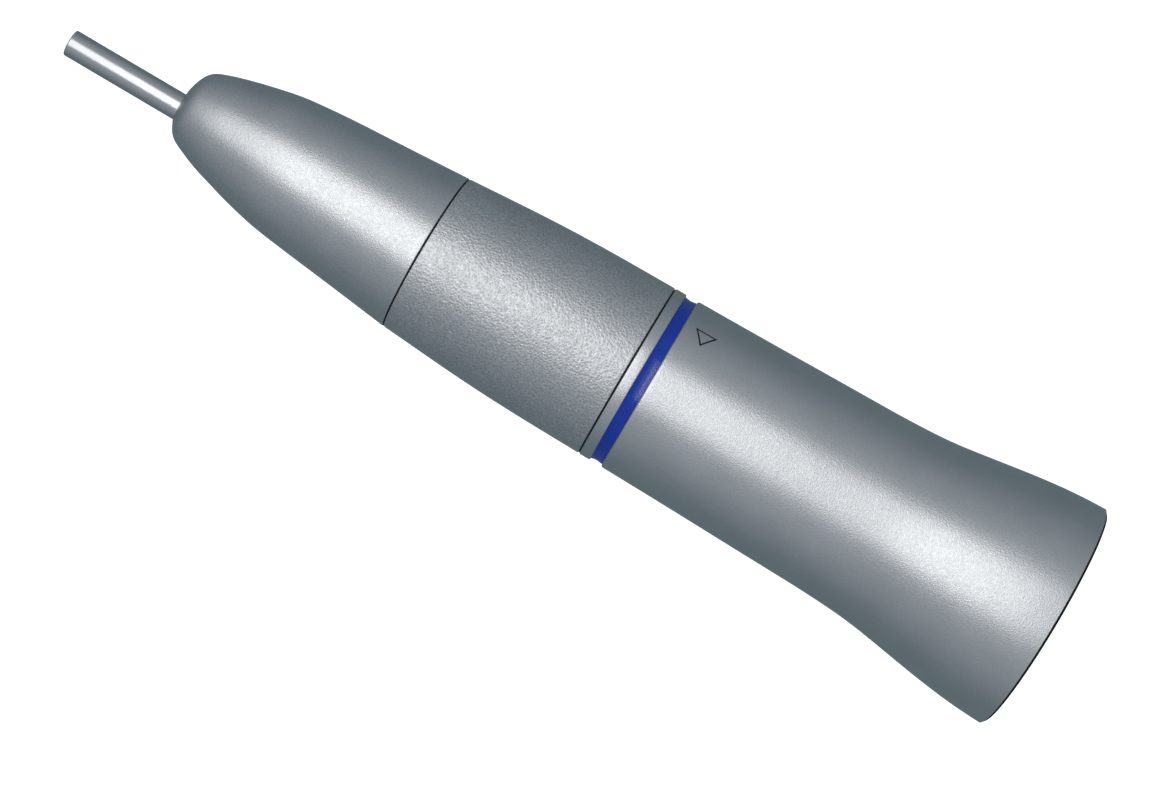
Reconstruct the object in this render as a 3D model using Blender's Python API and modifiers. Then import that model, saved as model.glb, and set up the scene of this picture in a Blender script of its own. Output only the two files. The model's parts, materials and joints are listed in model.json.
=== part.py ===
"""Straight low speed dental handpiece with a twist ring chuck, as an assembly of separate pieces.

The axis lies along world +X: the rear plane, where the motor plugs in, is at x = 0, and the nose points to
+X. Every piece is made about its own Z axis, in millimetres, and stands on one empty that turns Z into world
X, so a height below is the distance from the rear plane and a radius is the distance from the axis.
"""

import math

import bmesh
import bpy

MM = 0.001
MERGE_DISTANCE = 1e-6

# Driving dimensions, in millimetres.
BODY_LENGTH = 82.8
SHANK_RADIUS = 1.175
SHANK_LENGTH = 44.5
SHANK_OUT = 10.7
FRONT_SEAM = 59.3
REAR_SEAM = 40.1
SEAM_WIDTH = 0.2
BLUE_RING_BACK = 37.95
BLUE_RING_FRONT = 39.0
RIM_RADIUS = 10.22
SOCKET_RADIUS = 6.4
SOCKET_FRONT = 27.0
SLEEVE_FRONT = 37.8

# Motion.
TWIST_ANGLE = math.radians(50)
CHUCK_TRAVEL = 1.0
DOG_TRAVEL = 1.5

# Clearances.
SEAT_GAP = 0.1
RUNNING_GAP = 0.2
SLIP_GAP = 0.06
SLOT_GAP = 0.12
PIN_HOLE_GAP = 0.07
CUTTER_OVERRUN = 1.0

# Outside lines, as (height, radius), each followed by a smooth curve.
TWIST_RING_LINE = ((59.2, 7.04), (56.4, 7.24), (51.5, 7.58), (46.0, 7.78), (40.2, 7.86))
SLEEVE_LINE = (
    (37.6, 7.92), (29.2, 8.07), (21.0, 8.25), (16.9, 8.36), (13.6, 8.64),
    (10.3, 9.11), (7.0, 9.63), (3.7, 10.03), (0.45, RIM_RADIUS),
)
# The nose is fuller on one side: (distance behind its face, mean radius, shift of that circle off the axis).
NOSE_LINE = (
    (0.0, 1.72, -0.40), (0.33, 2.52, -0.50), (0.82, 3.13, -0.58), (1.65, 3.58, -0.59), (3.3, 4.19, -0.53),
    (6.6, 5.10, -0.46), (9.9, 5.75, -0.35), (14.8, 6.27, -0.23), (19.8, 6.71, -0.10), (23.4, 7.03, 0.0),
)

# The bores of the nose from the back, each as (radius, height where it ends).
NOSE_BORES = ((5.3, 66.9), (4.6, 74.4), (3.9, 76.4), (2.9, 79.7), (2.1, 81.4), (1.25, BODY_LENGTH))
SEAL_RADIUS = 2.0
SEAL_BORE = 1.27
SEAL_BACK = 79.95
SEAL_LENGTH = 1.3
SHIELD_RADIUS = 3.8
SHIELD_BORE = 2.85
SHIELD_BACK = 74.7
SHIELD_LENGTH = 1.4

# The chassis tube.
TUBE_RADIUS = 5.2
TUBE_BORE = 4.55
TUBE_BACK = 28.0
TUBE_FRONT = 66.6
SHOULDER_BORE = 4.1
SHOULDER_LENGTH = 0.9
O_RING_GROOVE_BACK = 57.8
O_RING_GROOVE_LENGTH = 1.0
O_RING_GROOVE_RADIUS = 4.95
O_RING_RADIUS = 5.38
O_RING_END_GAP = 0.15

# What stands on the tube behind the twist ring.
CORE_BACK = 29.4
CORE_RADIUS = 6.85
COLLAR_RADIUS = 7.88
COLLAR_EDGE = 0.08
COLLAR_GAP = 0.05
BLUE_RING_RADIUS = 7.67
STOP_PIN_RADIUS = 0.35
STOP_PIN_DISTANCE = 5.92
STOP_PIN_BACK = 37.6

# The rear casing and its socket.
SLEEVE_FACE_RADIUS = 7.76
SLEEVE_LAND = 6.95
SLEEVE_BORE = 7.1
SLEEVE_BORE_BACK = 14.0
MOUTH_RADIUS = 9.2
MOUTH_DEPTH = 2.6
CLIP_GROOVE_RADIUS = 7.4
CLIP_GROOVE_BACK = 27.25
CLIP_GROOVE_LENGTH = 0.9
CLIP_RADIUS = 7.3
CLIP_OPENING = 2.4
RIM_RING_LENGTH = 0.2
RIM_RING_RADIUS = 10.08
RIM_RING_BORE = 9.7
RIM_RING_CREST = 9.85
RIM_STEP_RADIUS = 9.65
BUSH_RADIUS = 7.0
BUSH_FLANGE_RADIUS = 9.05
BUSH_FLANGE_BACK = 0.8
BUSH_FLANGE_LENGTH = 1.5
BUSH_LEAD_IN = 0.5
SNAP_GROOVE_BACK = 5.6
SNAP_GROOVE_LENGTH = 1.2
SNAP_GROOVE_DEPTH = 0.3
SNAP_GROOVE_SLOPE = 0.2

# The twist ring and its cam sleeve.
RING_BORE = 6.6
RING_LIP_BORE = 5.45
RING_LIP_BACK = 57.2
CAM_RADIUS = 6.5
CAM_BORE = 5.35
CAM_BACK = 40.4
CAM_FRONT = 56.8
NOTCH_DEPTH = 1.2

# Bearings.
BEARING_RADIUS = 4.47
BEARING_LENGTH = 2.3
RACE_WALL = 0.5
BALL_RADIUS = 0.5
BALL_PITCH_RADIUS = 3.45
BALLS_PER_BEARING = 7
CAGE_WALL = 0.4
CAGE_LENGTH = 1.4
FRONT_BEARING_A = 73.15
FRONT_BEARING_B = 69.55
REAR_BEARING = 31.6
NUT_BORE = 3.3
NUT_LENGTH = 1.15
SPINDLE_NUT_RADIUS = 3.05
WASHER_RADIUS = 4.4
WASHER_LENGTH = 0.5
REAR_NUT_BACK = 28.3

# Spindle and chuck.
SPINDLE_RADIUS = 2.3
SPINDLE_BORE = 1.9
SPINDLE_HEAD_RADIUS = 2.65
SPINDLE_BACK = 24.0
SPINDLE_FRONT = 79.0
SPINDLE_SHOULDER = 74.6
TAPER_BACK = 75.0
SLIP_BORE = 2.36
COLLET_RADIUS = 1.8
COLLET_HEAD_RADIUS = 2.15
COLLET_BORE = 1.25
COLLET_BACK = 45.4
COLLET_FRONT = 78.3
COLLET_SLOTS = 3
COLLET_SLOT_WIDTH = 0.3
COLLET_SLOT_BACK = 64.0
CROSS_PIN_HEIGHT = 46.4
CROSS_PIN_LENGTH = 5.9
SMALL_PIN_RADIUS = 0.4
SHIFT_RING_BORE = 3.3
SHIFT_RING_RADIUS = 4.35
SHIFT_RING_LENGTH = 4.2
GUIDE_PIN_RADIUS = 0.5
GUIDE_PIN_HEIGHT = 45.7
GUIDE_PIN_INSET = 0.15
RELEASE_FLANGE_RADIUS = 3.9
RELEASE_FLANGE_LENGTH = 1.1
RELEASE_RADIUS = 3.1
RELEASE_BACK = 45.2
BUR_STOP_RADIUS = 1.17
BUR_STOP_GAP = 0.3
SHANK_CHAMFER = 0.12
SPRING_SEAT_RADIUS = 3.4
SPRING_SEAT_BACK = 58.2
SPRING_SEAT_LENGTH = 1.0
COLLET_SPRING_RADIUS = 2.9
COLLET_SPRING_WIRE = 0.25

# Drive dog.
DOG_BACK = 14.0
DOG_FRONT = 30.4
DOG_HEAD_FRONT = 21.5
DOG_HEAD_RADIUS = 2.6
DOG_SHAFT_RADIUS = 1.75
DOG_EDGE = 0.4
DOG_PIN_HEIGHT = 25.6
DOG_PIN_INSET = 0.05
FORK_WIDTH = 1.6
FORK_DEPTH = 4.0
DOG_SPRING_RADIUS = 1.4
DOG_SPRING_WIRE = 0.2
DOG_SEAT_RADIUS = 1.85
DOG_SEAT_BACK = 40.0
DOG_SEAT_LENGTH = 1.2

# Facets.
LARGE_SEGMENTS = 32
SMALL_SEGMENTS = 24
PIN_SEGMENTS = 12
CAGE_SEGMENTS = 14
POINTS_PER_COIL_TURN = 10
POINTS_PER_SPAN = 2
SPRING_TURNS = 6
ARC_STEPS = 14

# Colour, metallic, roughness.
FINISHES = {
    "satin_steel": ((0.42, 0.45, 0.47), 1.0, 0.38),
    "coarse_steel": ((0.40, 0.43, 0.45), 1.0, 0.45),
    "bright_steel": ((0.62, 0.64, 0.66), 1.0, 0.18),
    "plain_steel": ((0.50, 0.51, 0.52), 1.0, 0.30),
    "spring_steel": ((0.35, 0.35, 0.36), 1.0, 0.35),
    "brass": ((0.75, 0.58, 0.28), 1.0, 0.30),
    "aluminium": ((0.72, 0.73, 0.74), 1.0, 0.40),
    "blue_lacquer": ((0.012, 0.032, 0.30), 0.0, 0.30),
    "black_rubber": ((0.015, 0.015, 0.015), 0.0, 0.70),
    "cage_resin": ((0.35, 0.22, 0.10), 0.0, 0.55),
}


def clear_scene():
    for thing in list(bpy.data.objects):
        bpy.data.objects.remove(thing, do_unlink=True)


def new_collection(name):
    collection = bpy.data.collections.new(name)
    bpy.context.scene.collection.children.link(collection)
    return collection


def new_axis(collection):
    """The empty that lays every piece's Z axis along world X."""
    axis = bpy.data.objects.new("handpiece_axis", None)
    axis.rotation_euler = (0.0, math.pi / 2, 0.0)
    collection.objects.link(axis)
    return axis


def finish_material(name, finish):
    colour, metallic, roughness = FINISHES[finish]
    material = bpy.data.materials.new(name)
    material.use_nodes = True
    shader = material.node_tree.nodes["Principled BSDF"]
    shader.inputs["Base Color"].default_value = (*colour, 1.0)
    shader.inputs["Metallic"].default_value = metallic
    shader.inputs["Roughness"].default_value = roughness
    material.diffuse_color = (*colour, 1.0)
    return material


def place(name, data, finish):
    """One finished piece of the assembly, in the handpiece's collection."""
    piece = bpy.data.objects.new(name, data)
    piece.parent = AXIS
    PARTS.objects.link(piece)
    data.materials.append(finish_material(name, finish))
    return piece


def place_cutter(name, data):
    cutter = bpy.data.objects.new(name, data)
    cutter.parent = AXIS
    cutter.hide_render = True
    cutter.display_type = "WIRE"
    CUTTERS.objects.link(cutter)
    return cutter


def cut(piece, *cutters):
    for cutter in cutters:
        modifier = piece.modifiers.new(cutter.name, "BOOLEAN")
        modifier.operation = "DIFFERENCE"
        modifier.solver = "EXACT"
        modifier.object = cutter


def mesh_from(build, name):
    """A mesh datablock of what build(bm) makes, with its normals out and sharp edges between its faces."""
    mesh = bpy.data.meshes.new(name)
    bm = bmesh.new()
    build(bm)
    bmesh.ops.recalc_face_normals(bm, faces=bm.faces)
    bm.to_mesh(mesh)
    bm.free()
    mesh.shade_smooth()
    mesh.set_sharp_from_angle(angle=math.radians(35))
    return mesh


def smooth_line(points, per_span):
    """Catmull-Rom points through a list of points of any width, both ends kept."""
    line = []
    last = len(points) - 1
    for index in range(last):
        before = points[max(index - 1, 0)]
        start = points[index]
        end = points[index + 1]
        after = points[min(index + 2, last)]
        for step in range(per_span):
            t = step / per_span
            line.append(tuple(
                b + (c - a) * t / 2 + (a - 2.5 * b + 2 * c - d / 2) * t**2
                + (1.5 * (b - c) + (d - a) / 2) * t**3
                for a, b, c, d in zip(before, start, end, after)
            ))
    line.append(tuple(points[last]))
    return line


def outside(line):
    """A smooth outside line as (radius, height) points, from the front back."""
    return [(radius, height) for height, radius in smooth_line(line, POINTS_PER_SPAN)]


def turned(name, outline, finish, segments=SMALL_SEGMENTS):
    """A turned piece. outline is (radius, height) points, down the outside and back up the bore. An outline
    that starts and ends on the axis makes a piece with no bore."""
    solid = outline[0][0] == 0.0
    mesh = bpy.data.meshes.new(name)
    points = [(radius * MM, 0.0, height * MM) for radius, height in outline]
    edges = [(index, index + 1) for index in range(len(points) - 1)]
    if not solid:
        edges.append((len(points) - 1, 0))
    mesh.from_pydata(points, edges, [])
    piece = place(name, mesh, finish)
    screw = piece.modifiers.new("turn", "SCREW")
    screw.axis = "Z"
    screw.angle = math.tau
    screw.steps = segments
    screw.render_steps = segments
    screw.use_merge_vertices = True
    screw.merge_threshold = MERGE_DISTANCE
    screw.use_smooth_shade = True
    return piece


def ring(name, bore, radius, back, front, finish, segments=SMALL_SEGMENTS):
    """A plain ring with square corners."""
    outline = [(radius, front), (radius, back), (bore, back), (bore, front)]
    return turned(name, outline, finish, segments)


def plug(name, radius, back, front, finish, chamfer=0.0):
    """A plain round bar on the axis, with chamfered ends where asked."""
    outline = [(0.0, front), (radius - chamfer, front), (radius, front - chamfer)]
    outline += [(radius, back + chamfer), (radius - chamfer, back), (0.0, back)]
    if chamfer == 0.0:
        outline = [(0.0, front), (radius, front), (radius, back), (0.0, back)]
    return turned(name, outline, finish)


def rod_mesh(name, radius, length, segments=PIN_SEGMENTS):
    """A round bar along Z, centred on its origin."""
    def build(bm):
        bmesh.ops.create_cone(
            bm, cap_ends=True, segments=segments, radius1=radius * MM, radius2=radius * MM, depth=length * MM
        )
    return mesh_from(build, name)


def box_cutter(name, size, centre, turn=0.0):
    """A box cutter, turned about the axis after it is placed at (outwards, sideways, height)."""
    def build(bm):
        bmesh.ops.create_cube(bm, size=1.0)
        bmesh.ops.scale(bm, vec=[side * MM for side in size], verts=bm.verts)
    cutter = place_cutter(name, mesh_from(build, name))
    across, along, height = centre
    cutter.location = (
        (across * math.cos(turn) - along * math.sin(turn)) * MM,
        (across * math.sin(turn) + along * math.cos(turn)) * MM,
        height * MM,
    )
    cutter.rotation_euler = (0.0, 0.0, turn)
    return cutter


def cross_hole(name, radius, length, height, turn=0.0):
    """A round cutter that runs straight across the axis."""
    cutter = place_cutter(name, rod_mesh(name, radius, length, SMALL_SEGMENTS))
    cutter.location = (0.0, 0.0, height * MM)
    cutter.rotation_euler = (0.0, math.pi / 2, turn)
    return cutter


def arc_cutter(name, bore, radius, start, end, back, front, rise=0.0):
    """A slot or notch: a band about the axis from angle start to angle end, which climbs by rise."""
    def build(bm):
        sections = []
        for step in range(ARC_STEPS + 1):
            share = step / ARC_STEPS
            angle = start + (end - start) * share
            climb = rise * share
            corners = ((bore, back), (radius, back), (radius, front), (bore, front))
            sections.append([
                bm.verts.new((r * math.cos(angle) * MM, r * math.sin(angle) * MM, (height + climb) * MM))
                for r, height in corners
            ])
        for first, second in zip(sections, sections[1:]):
            for side in range(4):
                other = (side + 1) % 4
                bm.faces.new((first[side], first[other], second[other], second[side]))
        bm.faces.new(sections[0])
        bm.faces.new(sections[-1])
    return place_cutter(name, mesh_from(build, name))


def coil_spring(name, radius, wire, back, front):
    """A wire coil, whose wire's outside meets the two heights."""
    curve = bpy.data.curves.new(name, "CURVE")
    curve.dimensions = "3D"
    curve.bevel_depth = wire * MM
    curve.bevel_resolution = 2
    curve.use_fill_caps = True
    count = SPRING_TURNS * POINTS_PER_COIL_TURN
    spline = curve.splines.new("POLY")
    spline.points.add(count)
    low = back + wire
    high = front - wire
    for index in range(count + 1):
        angle = math.tau * index / POINTS_PER_COIL_TURN
        height = low + (high - low) * index / count
        spline.points[index].co = (
            radius * math.cos(angle) * MM, radius * math.sin(angle) * MM, height * MM, 1.0
        )
    return place(name, curve, "spring_steel")


def nose_circles():
    """The nose's outside as (radius, height, shift), front to back."""
    return [
        (radius, BODY_LENGTH - behind, shift)
        for behind, radius, shift in smooth_line(NOSE_LINE, POINTS_PER_SPAN)
    ]


def nose_cone():
    """The nose casing: a loft of circles that drift off the axis outside, and a plain stepped bore inside."""
    height = FRONT_SEAM + SEAM_WIDTH / 2
    outline = nose_circles()
    for radius, end in NOSE_BORES:
        outline += [(radius, height, 0.0), (radius, end, 0.0)]
        height = end

    def build(bm):
        circles = []
        for radius, height, shift in outline:
            circle = []
            for step in range(LARGE_SEGMENTS):
                angle = math.tau * step / LARGE_SEGMENTS
                across = radius * math.cos(angle)
                sideways = radius * math.sin(angle) + shift
                circle.append(bm.verts.new((across * MM, sideways * MM, height * MM)))
            circles.append(circle)
        for ahead, behind in zip(circles, circles[1:] + circles[:1]):
            for step in range(LARGE_SEGMENTS):
                after = (step + 1) % LARGE_SEGMENTS
                bm.faces.new((ahead[step], behind[step], behind[after], ahead[after]))
    place("nose_cone", mesh_from(build, "nose_cone"), "satin_steel")


def front_seals():
    ring("front_seal_ring", SEAL_BORE, SEAL_RADIUS, SEAL_BACK, SEAL_BACK + SEAL_LENGTH, "black_rubber")
    ring("front_shield", SHIELD_BORE, SHIELD_RADIUS, SHIELD_BACK, SHIELD_BACK + SHIELD_LENGTH, "plain_steel")


def bearing(label, centre):
    """The three pieces of one ball bearing: two races and the cage with its balls."""
    back = centre - BEARING_LENGTH / 2
    front = centre + BEARING_LENGTH / 2
    ring(f"{label}_outer_race", BEARING_RADIUS - RACE_WALL, BEARING_RADIUS, back, front, "bright_steel")
    ring(f"{label}_inner_race", SLIP_BORE, SLIP_BORE + RACE_WALL, back, front, "bright_steel")
    cage = ring(
        f"{label}_ball_cage", BALL_PITCH_RADIUS - CAGE_WALL / 2, BALL_PITCH_RADIUS + CAGE_WALL / 2,
        centre - CAGE_LENGTH / 2, centre + CAGE_LENGTH / 2, "cage_resin", CAGE_SEGMENTS,
    )
    balls = place_cutter(f"{label}_balls", ball_set_mesh(f"{label}_balls", centre))
    union = cage.modifiers.new("balls", "BOOLEAN")
    union.operation = "UNION"
    union.solver = "EXACT"
    union.object = balls


def ball_set_mesh(name, height):
    def build(bm):
        for index in range(BALLS_PER_BEARING):
            angle = math.tau * index / BALLS_PER_BEARING
            made = bmesh.ops.create_icosphere(bm, subdivisions=2, radius=BALL_RADIUS * MM)
            reach = BALL_PITCH_RADIUS * MM
            offset = (reach * math.cos(angle), reach * math.sin(angle), height * MM)
            bmesh.ops.translate(bm, vec=offset, verts=made["verts"])
    return mesh_from(build, name)


def bearings():
    bearing("front_bearing_a", FRONT_BEARING_A)
    bearing("front_bearing_b", FRONT_BEARING_B)
    bearing("rear_bearing", REAR_BEARING)
    half = BEARING_LENGTH / 2
    space_back = FRONT_BEARING_B + half + SEAT_GAP
    space_front = FRONT_BEARING_A - half - SEAT_GAP
    ring("outer_spacer", BEARING_RADIUS - RACE_WALL, BEARING_RADIUS, space_back, space_front, "plain_steel")
    ring("inner_spacer", SLIP_BORE, SLIP_BORE + RACE_WALL, space_back, space_front, "plain_steel")
    nut_front = FRONT_BEARING_B - half - RUNNING_GAP
    nut_back = nut_front - NUT_LENGTH
    ring("bearing_nut", NUT_BORE, BEARING_RADIUS, nut_back, nut_front, "brass")
    ring("spindle_nut", SLIP_BORE, SPINDLE_NUT_RADIUS, nut_back, nut_front, "brass")
    washer_front = REAR_BEARING - half - SEAT_GAP
    washer_back = washer_front - WASHER_LENGTH
    ring("preload_washer", NUT_BORE, WASHER_RADIUS, washer_back, washer_front, "spring_steel")
    ring("rear_bearing_nut", NUT_BORE, BEARING_RADIUS, REAR_NUT_BACK, washer_back - SEAT_GAP, "brass")


def bearing_tube():
    """The chassis tube that lines the bearings up, with a shoulder for the rear bearing, the groove of the
    twist ring's O-ring and two axial slots for the guide pins."""
    groove = O_RING_GROOVE_RADIUS
    groove_back = O_RING_GROOVE_BACK
    groove_front = groove_back + O_RING_GROOVE_LENGTH
    shoulder_back = REAR_BEARING + BEARING_LENGTH / 2 + SEAT_GAP
    shoulder_front = shoulder_back + SHOULDER_LENGTH
    outline = [
        (TUBE_RADIUS, TUBE_FRONT), (TUBE_RADIUS, groove_front), (groove, groove_front), (groove, groove_back),
        (TUBE_RADIUS, groove_back), (TUBE_RADIUS, TUBE_BACK), (TUBE_BORE, TUBE_BACK),
        (TUBE_BORE, shoulder_back), (SHOULDER_BORE, shoulder_back), (SHOULDER_BORE, shoulder_front),
        (TUBE_BORE, shoulder_front), (TUBE_BORE, TUBE_FRONT),
    ]
    tube = turned("bearing_tube", outline, "aluminium", LARGE_SEGMENTS)
    width = 2 * (GUIDE_PIN_RADIUS + SLOT_GAP)
    length = CHUCK_TRAVEL + width
    middle = GUIDE_PIN_HEIGHT + CHUCK_TRAVEL / 2
    cut(tube, box_cutter("tube_slots", (4 * TUBE_RADIUS, width, length), (0.0, 0.0, middle)))
    ring_back = groove_back + O_RING_END_GAP
    ring_front = groove_front - O_RING_END_GAP
    bore = groove + SLIP_GAP / 2
    ring("twist_o_ring", bore, O_RING_RADIUS, ring_back, ring_front, "black_rubber", LARGE_SEGMENTS)


def core_and_collar():
    """The ring that carries the rear casing on the tube, the narrow collar in front of it, the blue ring, and
    the pin that stops the twist ring at both ends of its turn."""
    core_front = BLUE_RING_FRONT - SEAT_GAP
    bore = TUBE_RADIUS + SEAT_GAP
    core = ring("core_ring", bore, CORE_RADIUS, CORE_BACK, core_front, "aluminium", LARGE_SEGMENTS)
    collar_back = BLUE_RING_FRONT + COLLAR_GAP
    collar_front = REAR_SEAM - SEAM_WIDTH / 2
    edge_radius = COLLAR_RADIUS - COLLAR_EDGE
    outline = [
        (edge_radius, collar_front), (COLLAR_RADIUS, collar_front - COLLAR_EDGE),
        (COLLAR_RADIUS, collar_back + COLLAR_EDGE), (edge_radius, collar_back), (bore, collar_back),
        (bore, collar_front),
    ]
    collar = turned("collar_ring", outline, "satin_steel", LARGE_SEGMENTS)
    blue_bore = CORE_RADIUS + SEAT_GAP
    ring(
        "id_ring", blue_bore, BLUE_RING_RADIUS, BLUE_RING_BACK, BLUE_RING_FRONT, "blue_lacquer", LARGE_SEGMENTS
    )
    back = STOP_PIN_BACK
    front = CAM_BACK + NOTCH_DEPTH - RUNNING_GAP - SEAT_GAP
    pin_mesh = rod_mesh("stop_pin", STOP_PIN_RADIUS, front - back)
    pin = place("stop_pin", pin_mesh, "bright_steel")
    hole_length = front - back + 2 * RUNNING_GAP
    hole_mesh = rod_mesh("stop_pin_hole", STOP_PIN_RADIUS + PIN_HOLE_GAP, hole_length, SMALL_SEGMENTS)
    hole = place_cutter("stop_pin_hole", hole_mesh)
    for thing in (pin, hole):
        thing.location = (0.0, STOP_PIN_DISTANCE * MM, (back + front) / 2 * MM)
    cut(core, hole)
    cut(collar, hole)


def rear_sleeve():
    """The waisted rear casing, which flares to the motor's width, with the snap ring's groove in its bore."""
    step = RIM_RING_LENGTH + COLLAR_GAP
    groove_front = CLIP_GROOVE_BACK + CLIP_GROOVE_LENGTH
    land_back = groove_front + 3 * (SLEEVE_BORE - SLEEVE_LAND)
    outline = [(SLEEVE_FACE_RADIUS, SLEEVE_FRONT)] + outside(SLEEVE_LINE) + [
        (RIM_RADIUS - SLIP_GAP, step), (RIM_STEP_RADIUS, step), (RIM_STEP_RADIUS, 0.0), (MOUTH_RADIUS, 0.0),
        (MOUTH_RADIUS, MOUTH_DEPTH), (SLEEVE_BORE, SLEEVE_BORE_BACK), (SLEEVE_BORE, CLIP_GROOVE_BACK),
        (CLIP_GROOVE_RADIUS, CLIP_GROOVE_BACK), (CLIP_GROOVE_RADIUS, groove_front),
        (SLEEVE_BORE, groove_front), (SLEEVE_BORE, land_back),
        (SLEEVE_LAND, land_back + 2 * (SLEEVE_BORE - SLEEVE_LAND)), (SLEEVE_LAND, SLEEVE_FRONT),
    ]
    turned("rear_sleeve", outline, "satin_steel", LARGE_SEGMENTS)
    rim = [
        (RIM_RING_RADIUS, RIM_RING_LENGTH), (RIM_RING_CREST, 0.0), (RIM_RING_BORE, 0.0),
        (RIM_RING_BORE, RIM_RING_LENGTH),
    ]
    turned("rear_rim_ring", rim, "black_rubber", LARGE_SEGMENTS)


def coupling_bush():
    """The socket that takes the motor's nose: a lead-in, a snap groove and a flange that closes the flare."""
    flange_back = BUSH_FLANGE_BACK
    flange_front = flange_back + BUSH_FLANGE_LENGTH
    groove_radius = SOCKET_RADIUS + SNAP_GROOVE_DEPTH
    groove_front = SNAP_GROOVE_BACK + SNAP_GROOVE_LENGTH
    outline = [
        (BUSH_RADIUS, SOCKET_FRONT), (BUSH_RADIUS, flange_front), (BUSH_FLANGE_RADIUS, flange_front),
        (BUSH_FLANGE_RADIUS, flange_back), (SOCKET_RADIUS + BUSH_LEAD_IN, flange_back),
        (SOCKET_RADIUS, flange_back + 2 * BUSH_LEAD_IN), (SOCKET_RADIUS, SNAP_GROOVE_BACK),
        (groove_radius, SNAP_GROOVE_BACK + SNAP_GROOVE_SLOPE),
        (groove_radius, groove_front - SNAP_GROOVE_SLOPE), (SOCKET_RADIUS, groove_front),
        (SOCKET_RADIUS, SOCKET_FRONT),
    ]
    turned("coupling_bush", outline, "plain_steel", LARGE_SEGMENTS)
    clip_back = CLIP_GROOVE_BACK + SEAT_GAP
    clip_front = CLIP_GROOVE_BACK + CLIP_GROOVE_LENGTH - SEAT_GAP
    clip = ring(
        "retaining_ring", SOCKET_RADIUS, CLIP_RADIUS, clip_back, clip_front, "spring_steel", LARGE_SEGMENTS
    )
    gap_size = (2 * CLIP_OPENING, CLIP_OPENING, 2 * CLIP_OPENING)
    cut(clip, box_cutter("clip_gap", gap_size, (CLIP_RADIUS, 0.0, (clip_back + clip_front) / 2)))


def twist_parts():
    """The twist ring, and the cam sleeve inside it with two climbing slots and the stop pin's notch."""
    front = FRONT_SEAM - SEAM_WIDTH / 2
    back = REAR_SEAM + SEAM_WIDTH / 2
    outline = outside(TWIST_RING_LINE) + [
        (RING_BORE, back), (RING_BORE, RING_LIP_BACK), (RING_LIP_BORE, RING_LIP_BACK), (RING_LIP_BORE, front)
    ]
    turned("twist_ring", outline, "coarse_steel", LARGE_SEGMENTS)
    cam = ring("cam_sleeve", CAM_BORE, CAM_RADIUS, CAM_BACK, CAM_FRONT, "brass", LARGE_SEGMENTS)
    half_slot = GUIDE_PIN_RADIUS + SLOT_GAP
    overrun = half_slot / CAM_BORE
    inside = TUBE_RADIUS - RUNNING_GAP
    beyond = CAM_RADIUS + CUTTER_OVERRUN
    climb_per_radian = CHUCK_TRAVEL / TWIST_ANGLE
    for index, pin_angle in enumerate((0.0, math.pi)):
        start = pin_angle + overrun
        end = pin_angle - TWIST_ANGLE - overrun
        low = GUIDE_PIN_HEIGHT - climb_per_radian * overrun - half_slot
        rise = climb_per_radian * (start - end)
        slot = arc_cutter(f"cam_slot_{index + 1}", inside, beyond, start, end, low, low + 2 * half_slot, rise)
        cut(cam, slot)
    half_notch = (STOP_PIN_RADIUS + SLOT_GAP) / CAM_BORE
    start = math.pi / 2 + half_notch
    end = math.pi / 2 - TWIST_ANGLE - half_notch
    notch = arc_cutter(
        "stop_notch", inside, beyond, start, end, CAM_BACK - CUTTER_OVERRUN, CAM_BACK + NOTCH_DEPTH
    )
    cut(cam, notch)


def shift_parts():
    """The ring that the cam slides along the axis, and its two guide pins."""
    back = GUIDE_PIN_HEIGHT - SHIFT_RING_LENGTH / 2
    front = GUIDE_PIN_HEIGHT + SHIFT_RING_LENGTH / 2
    shift = ring("shift_ring", SHIFT_RING_BORE, SHIFT_RING_RADIUS, back, front, "plain_steel")
    hole_length = 2 * (SHIFT_RING_RADIUS + CUTTER_OVERRUN)
    cut(shift, cross_hole("guide_pin_hole", GUIDE_PIN_RADIUS + PIN_HOLE_GAP, hole_length, GUIDE_PIN_HEIGHT))
    inner = SHIFT_RING_BORE + GUIDE_PIN_INSET
    outer = CAM_RADIUS - RUNNING_GAP
    mesh = rod_mesh("guide_pin", GUIDE_PIN_RADIUS, outer - inner)
    for index, side in enumerate((1.0, -1.0)):
        pin = place(f"guide_pin_{index + 1}", mesh.copy(), "bright_steel")
        pin.location = (side * (inner + outer) / 2 * MM, 0.0, GUIDE_PIN_HEIGHT * MM)
        pin.rotation_euler = (0.0, math.pi / 2, 0.0)


def spindle():
    """The hollow shaft, its tapered mouth, the cross pin's slots and the drive dog's pin."""
    outline = [
        (SPINDLE_HEAD_RADIUS, SPINDLE_FRONT), (SPINDLE_HEAD_RADIUS, SPINDLE_SHOULDER),
        (SPINDLE_RADIUS, SPINDLE_SHOULDER), (SPINDLE_RADIUS, SPINDLE_BACK), (SPINDLE_BORE, SPINDLE_BACK),
        (SPINDLE_BORE, TAPER_BACK), (SPINDLE_RADIUS, SPINDLE_FRONT),
    ]
    shaft = turned("spindle", outline, "plain_steel")
    width = 2 * (SMALL_PIN_RADIUS + PIN_HOLE_GAP)
    across = 2 * (SPINDLE_RADIUS + CUTTER_OVERRUN)
    middle = CROSS_PIN_HEIGHT + CHUCK_TRAVEL / 2
    slots = box_cutter("spindle_slots", (width, across, CHUCK_TRAVEL + width), (0.0, 0.0, middle))
    hole = cross_hole("dog_pin_hole", SMALL_PIN_RADIUS + PIN_HOLE_GAP, across, DOG_PIN_HEIGHT)
    cut(shaft, slots, hole)
    pin_length = 2 * (SPINDLE_RADIUS - DOG_PIN_INSET)
    pin = place("dog_pin", rod_mesh("dog_pin", SMALL_PIN_RADIUS, pin_length), "bright_steel")
    pin.location = (0.0, 0.0, DOG_PIN_HEIGHT * MM)
    pin.rotation_euler = (0.0, math.pi / 2, 0.0)


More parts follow.
